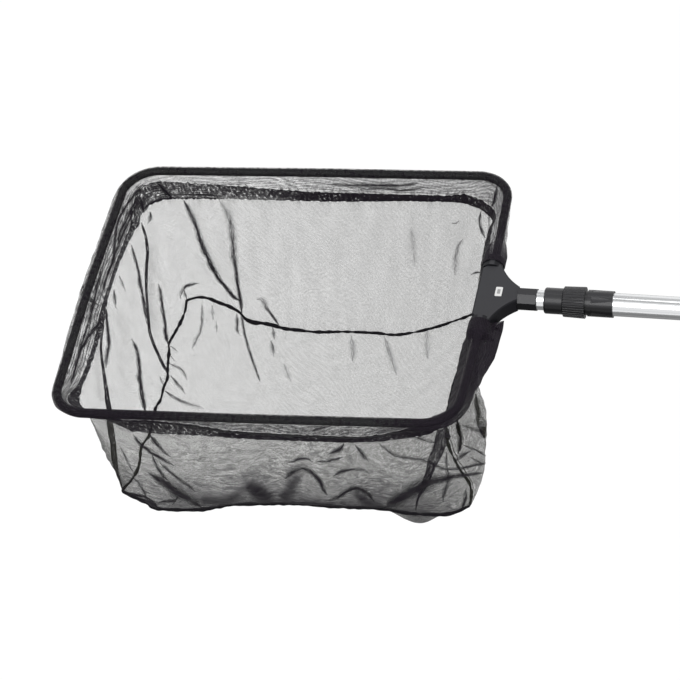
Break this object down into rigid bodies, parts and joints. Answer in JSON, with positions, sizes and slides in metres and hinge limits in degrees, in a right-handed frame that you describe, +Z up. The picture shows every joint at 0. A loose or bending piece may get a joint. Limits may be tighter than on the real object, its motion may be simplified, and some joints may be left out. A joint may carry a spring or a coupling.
{
  "type": "leaf skimmer net",
  "caption": "Deep mesh bag on a rounded rectangular tube frame with a telescopic twist-lock pole, for scooping leaves and debris out of a pool.",
  "frame": {"origin": "on the pole's axis, at the middle of the bare outer tube", "axes": "+X along the pole from the net to the grip, +Z up out of the net's mouth, +Y to the far side of the net in the picture"},
  "size_m": [1.2306, 0.3478, 0.2087],
  "materials": {
    "frame_coat": "satin",
    "head_plastic": "satin",
    "lock_plastic": "gloss",
    "inner_plastic": "satin",
    "tube_aluminium": "satin",
    "steel": "satin",
    "label_white": "matte",
    "grip_rubber": "matte",
    "cap_plastic": "satin",
    "net_mesh": "matte",
    "rim_cloth": "matte",
    "seam_cloth": "matte"
  },
  "bodies": {
    "handle": {"outer_tube": "tube_aluminium", "lock_collar": "lock_plastic", "collar_pins": "steel", "collet": "inner_plastic", "grip_sleeve": "grip_rubber", "end_cap": "cap_plastic"},
    "thrust_ring": {"thrust_ring": "inner_plastic"},
    "lock_nut": {"lock_nut": "lock_plastic"},
    "guide_bush": {"guide_bush": "inner_plastic"},
    "net_head": {"inner_tube": "tube_aluminium", "neck_socket": "lock_plastic", "neck_pin": "steel", "head_top_shell": "head_plastic", "head_bottom_shell": "head_plastic", "head_screws": "steel", "label_plate": "label_white", "frame_tube": "frame_coat", "frame_end_pins": "steel", "rim_sleeve": "rim_cloth", "hem_band": "rim_cloth", "net_wall_far": "net_mesh", "net_wall_near": "net_mesh", "net_wall_left": "net_mesh", "net_wall_right": "net_mesh", "net_floor": "net_mesh", "floor_seam_binding": "seam_cloth", "wall_seam_tapes": "seam_cloth"}
  },
  "joints": [
    {"name": "nut_advance", "type": "slide", "parent": "handle", "child": "thrust_ring", "axis": [-1, 0, 0], "range_m": [0, 0.002]},
    {"name": "nut_turn", "type": "hinge", "parent": "thrust_ring", "child": "lock_nut", "pos_m": [-0.3264, 0, 0], "axis": [-1, 0, 0], "range_deg": [0, 360]},
    {"name": "pole_extend", "type": "slide", "parent": "handle", "child": "guide_bush", "axis": [-1, 0, 0], "range_m": [0, 0.56]},
    {"name": "head_turn", "type": "hinge", "parent": "guide_bush", "child": "net_head", "pos_m": [0.36, 0, 0], "axis": [1, 0, 0], "continuous": true}
  ],
  "couplings": [
    {"joint": "nut_advance", "follows": "nut_turn", "m_per_rad": 0.0003183}
  ]
}
